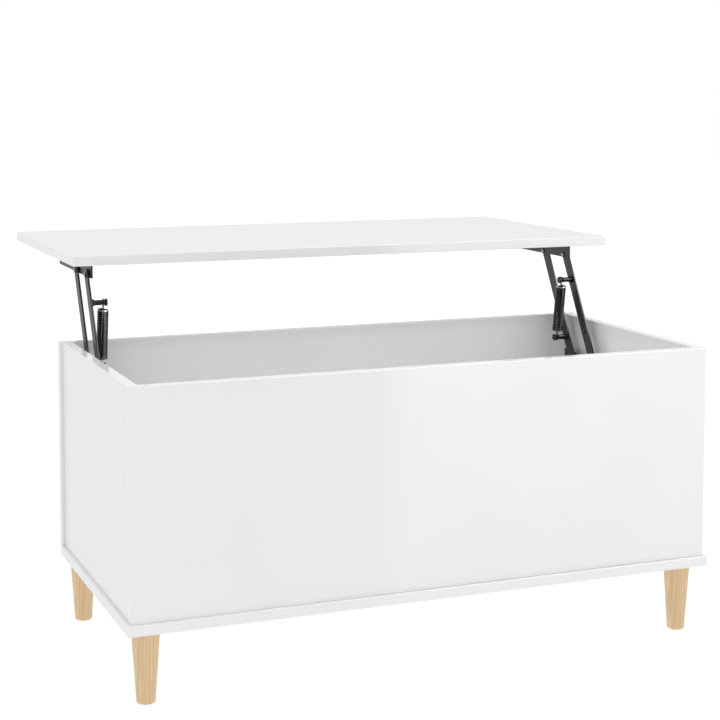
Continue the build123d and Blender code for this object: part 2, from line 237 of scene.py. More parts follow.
def bare_finish(name):
    """A material with an empty tree, and the Object coordinates that its patterns read."""
    finish = bpy.data.materials.new(name)
    finish.use_nodes = True
    tree = finish.node_tree
    tree.nodes.clear()
    return finish, tree, add(tree, "TexCoord").outputs["Object"]


def grained(name, light, dark, grain, patch, rough, depth, **shader):
    """A finish whose colour drifts in patches and whose roughness and height follow a fine grain.
    Grain, patch and depth are in millimetres, rough is the range of the roughness."""
    if name in bpy.data.materials:
        return bpy.data.materials[name]
    finish, tree, place = bare_finish(name)
    fine = add(tree, "TexNoise", {"Vector": place, "Scale": per_metre(grain), "Detail": 3.0})
    wide = add(tree, "TexNoise", {"Vector": place, "Scale": per_metre(patch), "Detail": 2.0})
    share = add(tree, "MapRange", {0: wide.outputs[0], 1: 0.35, 2: 0.65})
    base = add(tree, "Mix", {0: share.outputs[0], 6: light, 7: dark}, data_type="RGBA")
    gloss = add(tree, "MapRange", {0: fine.outputs[0], 1: 0.3, 2: 0.7, 3: rough[0], 4: rough[1]})
    bump = add(tree, "Bump", {"Height": fine.outputs[0], "Strength": 1.0, "Distance": depth * MM})
    inputs = {"Base Color": base.outputs[2], "Roughness": gloss.outputs[0], "Normal": bump.outputs[0]}
    surface = add(tree, "BsdfPrincipled", {**inputs, **shader})
    add(tree, "OutputMaterial", {"Surface": surface.outputs[0]})
    return finish


def darker(rgba, share):
    """The same colour with less light in it."""
    return (*(channel * share for channel in rgba[:3]), 1.0)


def gloss_lacquer():
    """Sprayed and polished polyurethane lacquer on MDF. The eye gets a clean white with nearly mirror-like
    reflections, which waver a little because the lacquer dries in faint waves."""
    white = bpy.context.scene.lift_table_boards
    peel = white.peel / MM
    return grained(
        "white_gloss_lacquer", tuple(white.white), darker(white.white, 0.985), peel, 180.0,
        (0.05, 0.08), white.peel_depth / MM, IOR=1.5,
    )


def black_coat():
    """Cathodic dip coat on cold rolled steel. The eye gets a soft satin black that turns grey where it
    mirrors the room, with the fine pebble of the baked film, drawn at 0.8 mm so that it shows."""
    paint = tuple(bpy.context.scene.lift_table_linkage.paint)
    return grained(
        "black_dip_coated_steel", paint, darker(paint, 0.7), 0.8, 25.0, (0.3, 0.42), 0.006, IOR=1.5
    )


def spring_black():
    """Oil blackened spring wire. The eye gets a deep black with small bright glints on every turn."""
    black = tuple(bpy.context.scene.lift_table_springs.black)
    return grained(
        "oil_blackened_spring_wire", black, darker(black, 0.6), 0.6, 9.0, (0.07, 0.16), 0.002,
        IOR=1.55
    )


def black_oxide():
    """Black oxide on turned steel. The eye gets a deep black with the tight highlights of a lathe
    finish."""
    black = tuple(bpy.context.scene.lift_table_springs.black)
    return grained(
        "black_oxide_on_turned_steel", darker(black, 0.6), darker(black, 0.4), 0.7, 7.0,
        (0.22, 0.34), 0.004, IOR=1.45,
    )


def zinc_plate():
    """Bright zinc plate on steel. The eye gets a light cool metal with a slightly cloudy shine."""
    zinc = tuple(bpy.context.scene.lift_table_linkage.zinc)
    return grained(
        "bright_zinc_plated_steel", zinc, darker(zinc, 0.8), 0.9, 4.0, (0.2, 0.36), 0.004, Metallic=1.0
    )


def cap_plastic():
    """Moulded white polypropylene, the cap pressed over a cam lock. The eye gets a white a little
    duller than the lacquer round it."""
    return grained(
        "moulded_white_polypropylene", linear("#ECECEA"), linear("#E4E4E1"), 0.8, 5.0, (0.25, 0.35), 0.006
    )


def nylon():
    """Moulded black nylon. The eye gets a dull dark grey with a moulded skin."""
    return grained(
        "moulded_black_nylon", linear("#2A2A2B"), linear("#222223"), 0.8, 5.0, (0.42, 0.55), 0.008
    )


def glide_plastic():
    """Moulded polyethylene. The eye gets a waxy pale grey that scuffs dull."""
    pale = tuple(bpy.context.scene.lift_table_legs.glide)
    return grained("moulded_polyethylene", pale, darker(pale, 0.9), 0.9, 6.0, (0.4, 0.6), 0.012)


def soft_pad():
    """Cast polyurethane bumper. The eye gets a pale, slightly milky drop with a soft shine."""
    return grained("cast_polyurethane", linear("#E9E9E4"), linear("#DEDED8"), 1.2, 4.0, (0.18, 0.3), 0.004)


def raw_beech():
    """Raw beech dowel, pressed with glue flutes. The eye gets a dry matt tan."""
    return grained("raw_beech", linear("#D8BC93"), linear("#C2A173"), 0.8, 3.0, (0.6, 0.75), 0.03)


def lacquered_beech():
    """Turned beech under a satin clear lacquer. The eye gets a pale honey wood whose growth rings run
    up the leg as soft streaks, with short darker ray flecks and fine pores that dull the lacquer."""
    name = "satin_lacquered_beech"
    if name in bpy.data.materials:
        return bpy.data.materials[name]
    legs = bpy.context.scene.lift_table_legs
    finish, tree, place = bare_finish(name)
    lean, stretch = (0.03, 0.05, 0.0), (1.0, 1.0, 0.06)
    grain = add(tree, "Mapping", {"Vector": place, "Rotation": lean, "Scale": stretch})
    sway = add(tree, "TexNoise", {"Vector": grain.outputs[0], "Scale": per_metre(14.0), "Detail": 2.0})
    rings = add(
        tree, "TexWave",
        {
            "Vector": grain.outputs[0], "Scale": math.tau / 20 / legs.ring, "Distortion": 7.0,
            "Detail": 2.0, "Detail Scale": 1.4, "Detail Roughness": 0.55,
        },
        wave_type="BANDS", bands_direction="X", wave_profile="SIN",
    )
    ring_share = add(tree, "MapRange", {0: rings.outputs[1], 1: 0.2, 2: 1.0, 3: 0.0, 4: 0.6})
    wood = add(
        tree, "Mix",
        {0: ring_share.outputs[0], 6: tuple(legs.early_wood), 7: tuple(legs.late_wood)}, data_type="RGBA",
    )
    drift = add(tree, "MapRange", {0: sway.outputs[0], 1: 0.3, 2: 0.7, 3: 0.0, 4: 0.4})
    toned = add(
        tree, "Mix", {0: drift.outputs[0], 6: wood.outputs[2], 7: tuple(legs.late_wood)}, data_type="RGBA"
    )
    streak = add(tree, "Mapping", {"Vector": place, "Scale": (1.0, 1.0, 0.16)})
    flecks = add(
        tree, "TexNoise",
        {"Vector": streak.outputs[0], "Scale": per_metre(0.9), "Detail": 3.0, "Roughness": 0.6},
    )
    fleck_share = add(tree, "MapRange", {0: flecks.outputs[0], 1: 0.58, 2: 0.74, 3: 0.0, 4: 0.5})
    base = add(
        tree, "Mix", {0: fleck_share.outputs[0], 6: toned.outputs[2], 7: tuple(legs.fleck)},
        data_type="RGBA",
    )
    gloss = add(tree, "MapRange", {0: flecks.outputs[0], 1: 0.3, 2: 0.75, 3: 0.32, 4: 0.5})
    bump = add(tree, "Bump", {"Height": flecks.outputs[0], "Strength": 1.0, "Distance": 0.02 * MM})
    surface = add(
        tree, "BsdfPrincipled",
        {
            "Base Color": base.outputs[2], "Roughness": gloss.outputs[0], "Normal": bump.outputs[0],
            "Coat Weight": 0.25, "Coat Roughness": 0.3,
        },
    )
    add(tree, "OutputMaterial", {"Surface": surface.outputs[0]})
    return finish


# Shapes


def verts_of(result):
    """The vertices that an operator gives back."""
    return [item for item in result["geom"] if isinstance(item, bmesh.types.BMVert)]


def edges_of(geometry):
    """The edges among mixed mesh elements."""
    return [item for item in geometry if isinstance(item, bmesh.types.BMEdge)]


def with_rims(faces):
    """Faces with their edges and vertices, each once and in a fixed order."""
    edges = dict.fromkeys(edge for face in faces for edge in face.edges)
    verts = dict.fromkeys(vert for face in faces for vert in face.verts)
    return [*faces, *edges, *verts]


def metres(outline):
    """An outline given in millimetres, in metres."""
    return [(across * MM, along * MM) for across, along in outline]


def turned(profile, rounds=(), steps=ROUND):
    """A shape turned about +Z from corners given as (radius, height) in metres.
    Rounds gives the number of a corner and the radius it is softened to."""
    shape = bmesh.new()
    corners = [shape.verts.new((radius, 0, height)) for radius, height in profile]
    lines = [shape.edges.new(pair) for pair in zip(corners, corners[1:])]
    bmesh.ops.spin(
        shape, geom=corners + lines, cent=(0, 0, 0), axis=(0, 0, 1), angle=math.tau, steps=steps,
        use_merge=True,
    )
    bmesh.ops.remove_doubles(shape, verts=shape.verts, dist=MERGE)
    for number, radius in rounds:
        circle = profile[number]
        ring = [edge for edge in shape.edges if all(on_circle(vert, circle) for vert in edge.verts)]
        bmesh.ops.bevel(
            shape, geom=ring, offset=radius, segments=4, profile=0.5, affect="EDGES", material=-1
        )
    return shape


def on_circle(vert, circle):
    """Whether a vertex lies on a circle about Z, given as (radius, height)."""
    radius, height = circle
    return abs(vert.co.xy.length - radius) < MERGE and abs(vert.co.z - height) < MERGE


def softened(shape, radius, segments=3):
    """Rounds every sharp edge of a closed shape."""
    bmesh.ops.recalc_face_normals(shape, faces=shape.faces)
    sharp = [edge for edge in shape.edges if edge.calc_face_angle(0) > FOLD]
    bmesh.ops.bevel(
        shape, geom=sharp, offset=radius, segments=segments, profile=0.5, affect="EDGES", material=-1
    )
    return shape


def copies(shape, places):
    """One bmesh with the shape at every place, which are matrices."""
    pattern = bpy.data.meshes.new("pattern")
    shape.to_mesh(pattern)
    shape.free()
    whole = bmesh.new()
    for place in places:
        known = len(whole.verts)
        whole.from_mesh(pattern)
        whole.verts.ensure_lookup_table()
        bmesh.ops.transform(whole, matrix=place, verts=whole.verts[known:])
    bpy.data.meshes.remove(pattern)
    return whole


def both_sides(places):
    """The places on the right of the table and their mirror images on the left."""
    return [side @ place for side in SIDES.values() for place in places]


def at(x, y, z):
    """A place in metres."""
    return Matrix.Translation((x, y, z))


def finished(name, shape, finishes, slot, *nodes):
    """Makes a bmesh a piece that stands for CAD nodes. Its normals follow its flat faces."""
    bmesh.ops.remove_doubles(shape, verts=shape.verts, dist=MERGE)
    bmesh.ops.recalc_face_normals(shape, faces=shape.faces)
    mesh = bpy.data.meshes.new(name)
    shape.to_mesh(mesh)
    shape.free()
    mesh.shade_smooth()
    mesh.set_sharp_from_angle(angle=SMOOTH)
    for finish in finishes:
        mesh.materials.append(finish)
    piece = bpy.data.objects.new(name, mesh)
    bpy.context.scene.collection.objects.link(piece)
    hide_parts(*nodes)
    return piece


def mounted(name, shape, finishes, slot, *nodes):
    """A rigid piece that stands for CAD nodes and rides on their body."""
    piece = finished(name, shape, finishes, slot, *nodes)
    normals = piece.modifiers.new("face_normals", "WEIGHTED_NORMAL")
    normals.keep_sharp = True
    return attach(piece, frame["nodes"][nodes[0]]["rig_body"])


def refinished(finish, *nodes):
    """Gives its finish to each CAD node whose shape is right."""
    for node in nodes:
        for place in frame["nodes"][node].material_slots:
            place.material = finish


def middle(node):
    """The centre of a CAD node's box."""
    low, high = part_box(node)
    return (low + high) / 2


def joint_place(name):
    """Where a joint of the frame turns."""
    return Vector(next(joint["pos_m"] for joint in frame["joints"] if joint["name"] == name))


def cross_recess(shape, height, reach, width, depth):
    """Sinks a cross into the flat face at the low end of a turned shape."""
    for axis in (Vector((1, 0, 0)), Vector((0, 1, 0))):
        for distance in (-reach, -width / 2, width / 2, reach):
            cap = [face for face in shape.faces if all(abs(v.co.z - height) < MERGE for v in face.verts)]
            bmesh.ops.bisect_plane(
                shape, geom=with_rims(cap), dist=MERGE / 10, plane_co=axis * distance, plane_no=axis
            )
    cross = []
    for face in shape.faces:
        spot = face.calc_center_median()
        short, long = sorted((abs(spot.x), abs(spot.y)))
        if all(abs(v.co.z - height) < MERGE for v in face.verts) and short < width / 2 and long < reach:
            cross.append(face)
    sunk = bmesh.ops.extrude_face_region(shape, geom=cross)
    bmesh.ops.delete(shape, geom=cross, context="FACES")
    floor = verts_of(sunk)
    bmesh.ops.scale(shape, vec=(0.7, 0.7, 1), verts=floor)
    bmesh.ops.translate(shape, vec=(0, 0, depth), verts=floor)
    return shape


def screw(head, height, shank, length):
    """A pan head screw that drives along +Z, its head below the origin, with a cross recess."""
    flat = head * 0.68
    profile = [(0, -height), (flat, -height), (head, -height * 0.4), (head, 0), (shank, 0)]
    profile += [(shank, length - shank), (0, length)]
    shape = turned(profile, [(2, 0.35 * MM), (1, 0.5 * MM)], SMALL_ROUND)
    return cross_recess(shape, -height, flat * 0.72, head * 0.26, height * 0.55)


class LIFTTABLE_OT_stage(bpy.types.Operator):
    """Sets out the pale floor, the soft studio light and the camera"""

    bl_idname = "lift_table.stage"
    bl_label = "Stage"
    bl_options = {"REGISTER", "UNDO"}

    # Metres: the soft box and its height, how far the fill stays inside the box, the floor's half side
    CEILING, CEILING_HEIGHT = (2.4, 2.4), 2.6
    FILL_GAP = 0.01
    FLOOR = 12
    FLOOR_SHADE = 0.27
    # Headings between which the mirrored screen stands, and how softly its two sides end
    NEAR_SIDE, NEAR_SOFT = math.radians(23.4), math.radians(0.4)
    FAR_SIDE, FAR_SOFT = math.radians(70), 0.2
    # Rises of a direction between which the screen's foot, its glare and its end fade, and the lamp's
    SCREEN_FOOT, SCREEN_GLARE, SCREEN_END = (-0.35, -0.07), (0.4, 0.6), (0.78, 0.92)
    LAMP_FOOT, LAMP_END = (0.18, 0.25), (0.25, 0.32)
    # How bright gloss mirrors the room on the camera's side and behind the table
    NEAR_ROOM, FAR_ROOM = 0.12, 0.8

    def execute(self, context):
        scene = context.scene
        settings = scene.lift_table_stage
        self.floor(scene, settings)
        self.room_light(scene, settings)
        overhead = (0, 0, self.CEILING_HEIGHT)
        self.soft_box(scene, "ceiling_soft_box", self.CEILING, settings.ceiling, overhead)
        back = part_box("back_panel")[1].y
        wall_low, wall_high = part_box("side_panel_right")
        gap = 2 * self.FILL_GAP
        mouth = (2 * wall_low.x - gap, wall_high.y - back - gap)
        place = (0, (wall_high.y + back) / 2, wall_high.z - self.FILL_GAP)
        self.soft_box(scene, "box_mouth_fill", mouth, settings.fill, place)
        view = bpy.data.cameras.new("camera")
        view.lens = settings.lens
        view.shift_x, view.shift_y = settings.shift
        camera = bpy.data.objects.new("camera", view)
        camera.location = settings.place
        camera.rotation_euler = (math.radians(90) - settings.tilt, 0, settings.turn)
        scene.collection.objects.link(camera)
        scene.camera = camera
        scene.view_settings.view_transform = "Standard"
        return {"FINISHED"}

    def soft_box(self, scene, name, sides, power, place):
        """A soft light that shines straight down."""
        lamp = bpy.data.lights.new(name, "AREA")
        lamp.shape = "RECTANGLE"
        lamp.size, lamp.size_y = sides
        lamp.energy = power
        box = bpy.data.objects.new(name, lamp)
        box.location = place
        box.visible_glossy = False
        scene.collection.objects.link(box)

    def floor(self, scene, settings):
        """A pale painted floor that glows a little, so shadows on it stay soft."""
        paint, tree, place = bare_finish("pale_floor_paint")
        cloud = add(tree, "TexNoise", {"Vector": place, "Scale": 2.0, "Detail": 2.0})
        rough = add(tree, "MapRange", {0: cloud.outputs[0], 3: 0.85, 4: 0.95})
        surface = add(
            tree, "BsdfPrincipled",
            {
                "Base Color": darker(settings.floor, self.FLOOR_SHADE), "Roughness": rough.outputs[0],
                "Emission Color": tuple(settings.floor), "Emission Strength": settings.glow,
            },
        )
        add(tree, "OutputMaterial", {"Surface": surface.outputs[0]})
        shape = bmesh.new()
        bmesh.ops.create_grid(shape, x_segments=1, y_segments=1, size=self.FLOOR)
        mesh = bpy.data.meshes.new("floor")
        shape.to_mesh(mesh)
        shape.free()
        mesh.materials.append(paint)
        floor = bpy.data.objects.new("floor", mesh)
        floor.visible_glossy = False
        scene.collection.objects.link(floor)

    def room_light(self, scene, settings):
        """An even white room. Gloss mirrors it dim on the camera's side and bright behind the table, with
        a tall lit screen to the right of the camera and a strip lamp in front of that."""
        world = bpy.data.worlds.new("studio")
        scene.world = world
        world.use_nodes = True
        tree = world.node_tree
        tree.nodes.clear()
        way = add(tree, "SeparateXYZ", {0: add(tree, "TexCoord").outputs["Generated"]})
        away = add(tree, "Math", {0: way.outputs[1], 1: -1.0}, operation="MULTIPLY")
        heading = add(tree, "Math", {0: way.outputs[0], 1: away.outputs[0]}, operation="ARCTAN2")
        sides, rises = [], []
        for edge, soft_in, soft_out, before, beyond in (
            (self.NEAR_SIDE, self.NEAR_SOFT, self.NEAR_SOFT, 0.0, 1.0),
            (self.FAR_SIDE, 0.0, self.FAR_SOFT, 1.0, 0.0),
        ):
            span = {1: edge - soft_in, 2: edge + soft_out, 3: before, 4: beyond}
            sides.append(add(tree, "MapRange", {0: heading.outputs[0], **span}))
        opens, closes = sides
        for (start, stop), before, beyond in (
            (self.SCREEN_FOOT, 0.0, settings.screen),
            (self.SCREEN_GLARE, 0.0, 2 * settings.screen),
            (self.SCREEN_END, 1.0, 0.0),
            (self.LAMP_FOOT, 0.0, settings.lamp),
            (self.LAMP_END, 1.0, 0.0),
        ):
            span = {1: start, 2: stop, 3: before, 4: beyond}
            rises.append(add(tree, "MapRange", {0: way.outputs[2], **span}))
        foot, glare, ends, lamp, lamp_end = rises
        height = add(tree, "Math", {0: foot.outputs[0], 1: glare.outputs[0]}, operation="ADD")
        strip = add(tree, "Math", {0: lamp.outputs[0], 1: lamp_end.outputs[0]}, operation="MULTIPLY")
        height = add(tree, "Math", {0: height.outputs[0], 1: strip.outputs[0]}, operation="ADD")
        column = add(tree, "Math", {0: opens.outputs[0], 1: closes.outputs[0]}, operation="MULTIPLY")
        cut = add(tree, "Math", {0: height.outputs[0], 1: ends.outputs[0]}, operation="MULTIPLY")
        screen = add(tree, "Math", {0: column.outputs[0], 1: cut.outputs[0]}, operation="MULTIPLY")
        span = {1: -0.3, 2: 0.3, 3: self.NEAR_ROOM, 4: self.FAR_ROOM}
        behind = add(tree, "MapRange", {0: way.outputs[1], **span})
        mirrored = add(tree, "Math", {0: screen.outputs[0], 1: behind.outputs[0]}, operation="ADD")
        ray = add(tree, "LightPath").outputs
        lit = add(tree, "Mix", {0: ray["Is Glossy Ray"], 2: settings.sky, 3: mirrored.outputs[0]})
        seen = add(tree, "Mix", {0: ray["Is Camera Ray"], 2: lit.outputs[0], 3: 1.0})
        back = add(tree, "Background", {"Color": linear("#FFFFFF"), "Strength": seen.outputs[0]})
        add(tree, "OutputWorld", {"Surface": back.outputs[0]})


class LIFTTABLE_OT_boards(bpy.types.Operator):
    """Lacquers the boards of the box and the lifting top"""

    bl_idname = "lift_table.boards"
    bl_label = "Boards"
    bl_options = {"REGISTER", "UNDO"}

    def execute(self, context):
        refinished(
            gloss_lacquer(), "base_panel", "back_panel", "front_panel", "side_panel_left",
            "side_panel_right", "top_panel",
        )
        return {"FINISHED"}


class LIFTTABLE_OT_legs(bpy.types.Operator):
    """Turns the four beech legs and their glides"""

    bl_idname = "lift_table.legs"
    bl_label = "Legs"
    bl_options = {"REGISTER", "UNDO"}

    FOOT = 12.9 * MM
    LEG_ROUND = 72
    # Millimetres, as (radius, height): the glide's disc up to the foot of its stem
    GLIDE = [(0, 0), (8, 0), (8, 1.5), (3, 1.5)]

    def execute(self, context):
        settings = context.scene.lift_table_legs
        glide_low, glide_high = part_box("leg_glides")
        for corner in ("back_left", "front_left", "back_right", "front_right"):
            low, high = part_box("leg_" + corner)
            height = high.z - low.z
            shape = turned(
                [(0, 0), (self.FOOT, 0), ((high.x - low.x) / 2, height), (0, height)],
                [(1, settings.foot_rounding), (2, settings.top_rounding)], self.LEG_ROUND,
            )
            bmesh.ops.translate(shape, vec=(*middle("leg_" + corner).xy, low.z), verts=shape.verts)
            mounted("turned_leg_" + corner, shape, [lacquered_beech()], "beech", "leg_" + corner)
        disc = metres(self.GLIDE)
        disc += [(disc[-1][0], glide_high.z), (0, glide_high.z)]
        feet = [at(*middle("leg_" + corner).xy, glide_low.z) for corner in ("back_left", "front_left")]
        shape = copies(turned(disc, [(1, 0.6 * MM)], SMALL_ROUND), both_sides(feet))
        mounted("glides", shape, [glide_plastic()], "glide_plastic", "leg_glides")
        return {"FINISHED"}


class LIFTTABLE_OT_arms(bpy.types.Operator):
    """Makes the four flat lift arms and their studs"""

    bl_idname = "lift_table.arms"
    bl_label = "Arms"
    bl_options = {"REGISTER", "UNDO"}

    # Millimetres, as (radius, height): the stud's chamfered head
    STUD = [(0, 0), (2.6, 0), (3.9, 0.7), (3.9, 1.2)]

    def execute(self, context):
        settings = context.scene.lift_table_linkage
        pivot, top = joint_place("lift"), joint_place("top_pivot")
        reach = top - pivot
        raised = math.atan2(reach.z, reach.y)
        low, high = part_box("rear_arm_right")
        thickness = high.x - low.x
        width = (high.y - low.y) - reach.y
        for arm, joint in (("rear", "lift"), ("front", "front_arm_left_pivot")):
            foot = joint_place(joint)
            for side, turn in SIDES.items():
                shape = self.bar(reach.length, width, thickness, settings.arm_edge)
                place = turn @ at(low.x, foot.y, foot.z) @ Matrix.Rotation(raised, 4, "X")
                bmesh.ops.transform(shape, matrix=place, verts=shape.verts)
                node = f"{arm}_arm_{side}"
                mounted(f"flat_{node}", shape, [black_coat()], "black_steel", node)
        low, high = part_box("arm_studs_right")
        head = [*metres(self.STUD), (0, high.x - low.x)]
        radius = head[2][0]
        ends = [(low.y + radius, low.z + radius), (high.y - radius, high.z - radius)]
        for side, turn in SIDES.items():
            places = [turn @ at(low.x, y, z) @ ALONG_X for y, z in ends]
            shape = copies(turned(head, [(1, 0.4 * MM), (2, 0.3 * MM)], SMALL_ROUND), places)
            node = f"arm_studs_{side}"
            mounted(f"small_{node}", shape, [black_coat()], "zinc_steel", node)
        return {"FINISHED"}

    def bar(self, length, width, thickness, edge):
        """A flat bar with round ends along +Y, its thickness along +X."""
        shape = bmesh.new()
        bmesh.ops.create_circle(shape, cap_ends=True, radius=width / 2, segments=ROUND)
        half_step = Matrix.Rotation(math.pi / ROUND, 3, "Z")
        bmesh.ops.rotate(shape, cent=(0, 0, 0), matrix=half_step, verts=shape.verts)
        far_end = [vert for vert in shape.verts if vert.co.x > 0]
        bmesh.ops.translate(shape, vec=(length, 0, 0), verts=far_end)
        grown = bmesh.ops.extrude_face_region(shape, geom=shape.faces[:])
        bmesh.ops.translate(shape, vec=(0, 0, thickness), verts=verts_of(grown))
        stand = Matrix(((0, 0, 1), (1, 0, 0), (0, 1, 0)))
        bmesh.ops.rotate(shape, cent=(0, 0, 0), matrix=stand, verts=shape.verts)
        return softened(shape, edge)


class LIFTTABLE_OT_brackets(bpy.types.Operator):
    """Folds the brackets under the top and on the side boards"""

    bl_idname = "lift_table.brackets"
    bl_label = "Brackets"
    bl_options = {"REGISTER", "UNDO"}

    # Where the tray's web begins and ends, and how far above its floor the wall plate widens
    WEB_Y = (37 * MM, 162 * MM)
    RELIEF = 4 * MM

    def execute(self, context):
        settings = context.scene.lift_table_linkage
        for side, turn in SIDES.items():
            for name, shape in (
                ("top_bracket", self.top_angle(settings)),
                ("base_bracket", self.base_tray(settings)),
            ):
                bmesh.ops.transform(shape, matrix=turn, verts=shape.verts)
                node = f"{name}_{side}"
                mounted(f"folded_{node}", shape, [black_coat()], "black_steel", node)
        return {"FINISHED"}

    def strip(self, corners, y_span):
        """A sheet without thickness along Y, through corners given as (x, z)."""
        shape = bmesh.new()
        verts = [shape.verts.new((x, y_span[0], z)) for x, z in corners]
        lines = [shape.edges.new(pair) for pair in zip(verts, verts[1:])]
        drawn = bmesh.ops.extrude_edge_only(shape, edges=lines)
        bmesh.ops.translate(shape, vec=(0, y_span[1] - y_span[0], 0), verts=verts_of(drawn))
        return shape

    def folded(self, shape, bends, corners, box, settings):
        """Rounds the bends and corners of a sheet, and gives it its thickness inside a box."""
        rounded = [
            vert for vert in shape.verts
            if any((vert.co - Vector(spot)).length < MERGE for spot in corners)
        ]
        bmesh.ops.bevel(
            shape, geom=rounded, offset=settings.corner, segments=6, profile=0.5, affect="VERTICES",
            material=-1,
        )
        folds = [
            edge for edge in shape.edges
            if any(all(math.dist((v.co.x, v.co.z), bend) < MERGE for v in edge.verts) for bend in bends)
        ]
        bmesh.ops.bevel(
            shape, geom=folds, offset=settings.bend, segments=6, profile=0.5, affect="EDGES", material=-1
        )
        bmesh.ops.recalc_face_normals(shape, faces=shape.faces)
        low, high = box
        centre = (low + high) / 2
        out = sum(face.normal.dot(face.calc_center_median() - centre) for face in shape.faces)
        if out < 0:
            bmesh.ops.reverse_faces(shape, faces=shape.faces)
        bmesh.ops.solidify(shape, geom=shape.faces[:], thickness=settings.plate)
        return softened(shape, settings.sheet_edge, 2)

    def top_angle(self, settings):
        """The angle under the top: a flange screwed to the board and a web that the arms hang on."""
        low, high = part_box("top_bracket_right")
        shape = self.strip([(high.x, low.z), (high.x, high.z), (low.x, high.z)], (low.y, high.y))
        corners = [(x, y, z) for x, z in ((high.x, low.z), (low.x, high.z)) for y in (low.y, high.y)]
        return self.folded(shape, [(high.x, high.z)], corners, (low, high), settings)

    def base_tray(self, settings):
        """The tray on a side board: a wide plate against the board, a floor, and a web for the arms."""
        low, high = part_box("base_bracket_right")
        high.z -= settings.tray_drop
        near_y, far_y = self.WEB_Y
        relief = low.z + self.RELIEF
        wall_top = high.z - settings.wall_dip
        profile = [(low.x, high.z), (low.x, low.z), (high.x, low.z), (high.x, wall_top)]
        shape = self.strip(profile, self.WEB_Y)
        wall = [face for face in shape.faces if all(abs(v.co.x - high.x) < MERGE for v in face.verts)]
        bmesh.ops.bisect_plane(
            shape, geom=with_rims(wall), dist=MERGE, plane_co=(0, 0, relief), plane_no=(0, 0, 1)
        )
        for from_y, to_y in ((near_y, low.y), (far_y, high.y)):
            side = [
                edge for edge in shape.edges
                if all(
                    abs(v.co.x - high.x) < MERGE and abs(v.co.y - from_y) < MERGE
                    and v.co.z > relief - MERGE
                    for v in edge.verts
                )
            ]
            drawn = bmesh.ops.extrude_edge_only(shape, edges=side)
            bmesh.ops.translate(shape, vec=(0, to_y - from_y, 0), verts=verts_of(drawn))
            ends = sorted((from_y, to_y))
            ledge = [
                edge for edge in shape.edges
                if all(
                    abs(v.co.x - high.x) < MERGE and abs(v.co.z - wall_top) < MERGE
                    and ends[0] - MERGE < v.co.y < ends[1] + MERGE
                    for v in edge.verts
                )
            ]
            ear = bmesh.ops.extrude_edge_only(shape, edges=ledge)
            bmesh.ops.translate(shape, vec=(0, 0, settings.wall_dip), verts=verts_of(ear))
        web_end = Vector((low.x, near_y, high.z))
        near_end = [vert for vert in shape.verts if (vert.co - web_end).length < MERGE]
        bmesh.ops.translate(shape, vec=(0, 0, -settings.web_slope), verts=near_end)
        corners = [(high.x, y, z) for y in (low.y, high.y) for z in (relief, high.z)]
        corners += [(low.x, near_y, high.z - settings.web_slope), (low.x, far_y, high.z)]
        bends = [(low.x, low.z), (high.x, low.z)]
        return self.folded(shape, bends, corners, (low, high), settings)


class LIFTTABLE_OT_pivots(bpy.types.Operator):
    """Makes the pivot rivets, their washers and the stop pins"""

    bl_idname = "lift_table.pivots"
    bl_label = "Pivots"
    bl_options = {"REGISTER", "UNDO"}

    # How far a rivet's end stands past the arm, and the radius outside which its flange is coated
    STANDS = {"base": 2.5 * MM, "top": 6.0 * MM}
    BARE = 3.5 * MM
    PIN = 3 * MM
    # Millimetres, as (radius, height): a washer, and a rivet's dimpled end with its flange
    WASHER = [(4.05, 0), (6.5, 0), (6.5, 1), (4.05, 1), (4.05, 0)]
    RIVET = [(0, 0.7), (1.2, 0.7), (1.8, 0), (2.8, 0), (3.3, 1.3), (4.6, 1.5), (4.6, 2.4), (4, 2.4)]

    def execute(self, context):
        front, rear = joint_place("front_arm_left_pivot"), joint_place("lift")
        reach = joint_place("top_pivot") - rear
        levels = {"base": (front, rear), "top": (front + reach, rear + reach)}
        for level, spots in levels.items():
            rivets, washers = f"{level}_pivot_rivets", f"{level}_pivot_washers"
            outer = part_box(rivets)[1].x
            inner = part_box("rear_arm_right")[0].x - self.STANDS[level]
            places = both_sides([at(inner, p.y, p.z) @ ALONG_X for p in spots])
            shape = copies(self.rivet(outer - inner), places)
            for face in shape.faces:
                spot = face.calc_center_median()
                distance = min(math.dist(spot.yz, p.yz) for p in spots)
                face.material_index = int(distance > self.BARE)
            mounted(f"peened_{rivets}", shape, [zinc_plate(), black_coat()], "zinc_steel", rivets)
            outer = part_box(washers)[1].x
            shape = turned(metres(self.WASHER), [(1, 0.2 * MM), (2, 0.2 * MM)], SMALL_ROUND)
            thickness = self.WASHER[2][1] * MM
            places = both_sides([at(outer - thickness, p.y, p.z) @ ALONG_X for p in spots])
            mounted(f"flat_{washers}", copies(shape, places), [nylon()], "nylon", washers)
        low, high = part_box("stop_pins")
        spot = middle("stop_pins")
        length = high.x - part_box("front_arm_right")[0].x
        pin = turned(
            [(0, 0), (self.PIN, 0), (self.PIN, length), (0, length)],
            [(1, 0.6 * MM), (2, 0.3 * MM)], SMALL_ROUND,
        )
        places = both_sides([at(high.x - length, spot.y, spot.z) @ ALONG_X])
        mounted("turned_stop_pins", copies(pin, places), [black_coat()], "black_steel", "stop_pins")
        return {"FINISHED"}

    def rivet(self, length):
        """A shouldered rivet with a wide flange and a peened, dimpled end on both sides."""
        half = metres(self.RIVET)
        profile = half + [(radius, length - height) for radius, height in reversed(half)]
        last = len(profile) - 1
        rounds = [(2, 0.2 * MM), (3, 0.35 * MM), (5, 0.4 * MM)]
        rounds += [(last - number, radius) for number, radius in rounds]
        return turned(profile, rounds, SMALL_ROUND)


